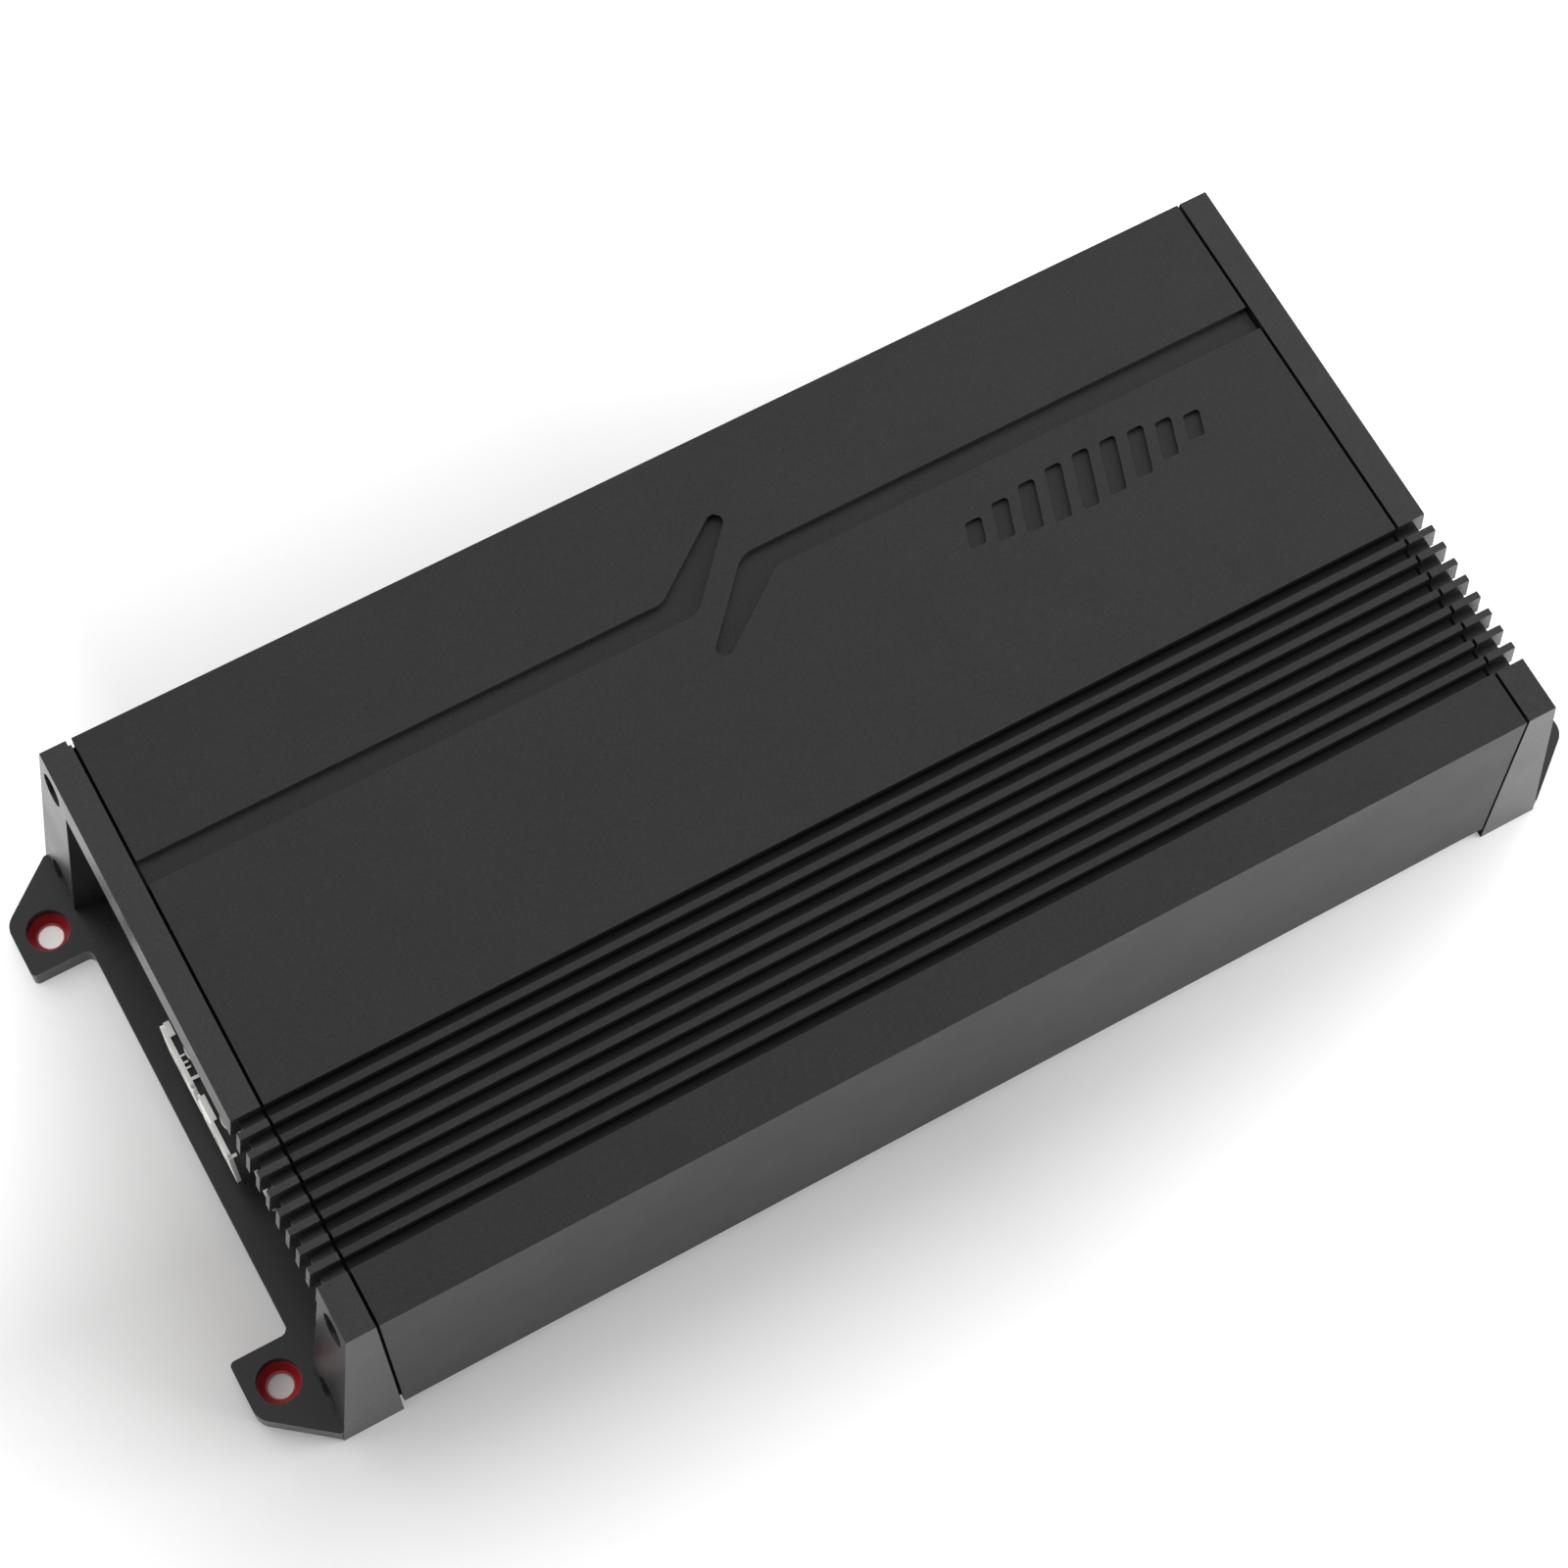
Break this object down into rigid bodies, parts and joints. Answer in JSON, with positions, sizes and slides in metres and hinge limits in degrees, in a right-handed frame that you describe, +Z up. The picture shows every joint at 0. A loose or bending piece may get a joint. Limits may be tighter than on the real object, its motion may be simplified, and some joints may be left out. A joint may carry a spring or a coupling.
{
  "type": "car amplifier",
  "caption": "Low finned black metal case with sloped end caps, a comb-edged heatsink top, bent channels, eared feet with red bushes, and terminals and controls in its ends.",
  "frame": {"origin": "middle of the mounting plane, under the centre of the case", "axes": "+X along the case towards the control end, +Y towards the side away from the fins, +Z up out of the finned top"},
  "size_m": [0.2762, 0.1246, 0.0515],
  "materials": {
    "shell_black": "matte black coat, very fine texture",
    "cap_black": "matte black coat on cast metal, fine texture",
    "cover_black": "matt black sheet steel",
    "bush_red": "satin red",
    "screw_black": "black oxide",
    "panel_black": "matt black sheet",
    "block_black": "moulded, matt",
    "nickel": "satin nickel plate",
    "set_screw_steel": "zinc plate",
    "holder_black": "moulded, matt",
    "fuse_amber": "clear tinted",
    "blade_metal": "bright",
    "jack_block_black": "moulded, matt",
    "jack_nickel": "bright nickel plate",
    "port_black": "moulded, matt",
    "socket_white": "moulded nylon",
    "pin_gold": "gold flash",
    "pot_blue": "moulded",
    "knob_black": "moulded, fluted",
    "switch_steel": "tin plate",
    "slider_white": "moulded",
    "light_blue": "clear tinted",
    "light_red": "clear tinted",
    "board_green": "solder mask",
    "post_brass": "plain",
    "inner_screw_steel": "zinc plate",
    "ferrite": "sintered",
    "copper": "enamelled wire",
    "sleeve_blue": "shrink sleeve",
    "transistor_black": "moulded",
    "pad_grey": "silicone pad",
    "clamp_aluminium": "mill finish"
  },
  "bodies": {
    "amplifier": {"heatsink_shell": "shell_black", "left_end_cap": "cap_black", "right_end_cap": "cap_black", "bottom_cover": "cover_black", "mounting_bush_1": "bush_red", "mounting_bush_2": "bush_red", "mounting_bush_3": "bush_red", "mounting_bush_4": "bush_red", "end_cap_screws": "screw_black", "cover_screws": "screw_black", "power_panel": "panel_black", "control_panel": "panel_black", "power_block": "block_black", "ground_terminal": "nickel", "battery_terminal": "nickel", "remote_terminal": "nickel", "speaker_block": "block_black", "speaker_terminal_1": "nickel", "speaker_terminal_2": "nickel", "speaker_terminal_3": "nickel", "speaker_terminal_4": "nickel", "terminal_set_screws": "set_screw_steel", "fuse_holder": "holder_black", "phono_block": "jack_block_black", "phono_jack_1": "jack_nickel", "phono_jack_2": "jack_nickel", "phono_jack_3": "jack_nickel", "phono_jack_4": "jack_nickel", "remote_port": "port_black", "high_level_socket": "socket_white", "high_level_pins": "pin_gold", "level_pot": "pot_blue", "low_pass_pot": "pot_blue", "high_pass_pot": "pot_blue", "bass_pot": "pot_blue", "crossover_switch": "switch_steel", "range_switch": "switch_steel", "power_light": "light_blue", "protect_light": "light_red", "main_board": "board_green", "preamp_board": "board_green", "board_posts": "post_brass", "inner_screws": "inner_screw_steel", "transformer_core": "ferrite", "transformer_winding": "copper", "output_chokes": "copper", "capacitors": "sleeve_blue", "transistors": "transistor_black", "thermal_pads": "pad_grey", "clamp_bars": "clamp_aluminium"},
    "level_control": {"level_knob": "knob_black"},
    "low_pass_control": {"low_pass_knob": "knob_black"},
    "high_pass_control": {"high_pass_knob": "knob_black"},
    "bass_control": {"bass_knob": "knob_black"},
    "crossover_selector": {"crossover_slider": "slider_white"},
    "range_selector": {"range_slider": "slider_white"},
    "fuse_1": {"fuse_1_body": "fuse_amber", "fuse_1_blades": "blade_metal"},
    "fuse_2": {"fuse_2_body": "fuse_amber", "fuse_2_blades": "blade_metal"}
  },
  "joints": [
    {"name": "level_turn", "type": "hinge", "parent": "amplifier", "child": "level_control", "pos_m": [0.1125, -0.012, 0.034], "axis": [1, 0, 0], "range_deg": [-140, 140]},
    {"name": "low_pass_turn", "type": "hinge", "parent": "amplifier", "child": "low_pass_control", "pos_m": [0.1125, -0.002, 0.034], "axis": [1, 0, 0], "range_deg": [-140, 140]},
    {"name": "high_pass_turn", "type": "hinge", "parent": "amplifier", "child": "high_pass_control", "pos_m": [0.1125, 0.008, 0.034], "axis": [1, 0, 0], "range_deg": [-140, 140]},
    {"name": "bass_turn", "type": "hinge", "parent": "amplifier", "child": "bass_control", "pos_m": [0.1125, 0.018, 0.034], "axis": [1, 0, 0], "range_deg": [-140, 140]},
    {"name": "crossover_slide", "type": "slide", "parent": "amplifier", "child": "crossover_selector", "axis": [0, 1, 0], "range_m": [-0.002, 0.002]},
    {"name": "range_slide", "type": "slide", "parent": "amplifier", "child": "range_selector", "axis": [0, 1, 0], "range_m": [0, 0.003]},
    {"name": "fuse_1_pull", "type": "slide", "parent": "amplifier", "child": "fuse_1", "axis": [-1, 0, 0], "range_m": [0, 0.011]},
    {"name": "fuse_2_pull", "type": "slide", "parent": "amplifier", "child": "fuse_2", "axis": [-1, 0, 0], "range_m": [0, 0.011]}
  ]
}
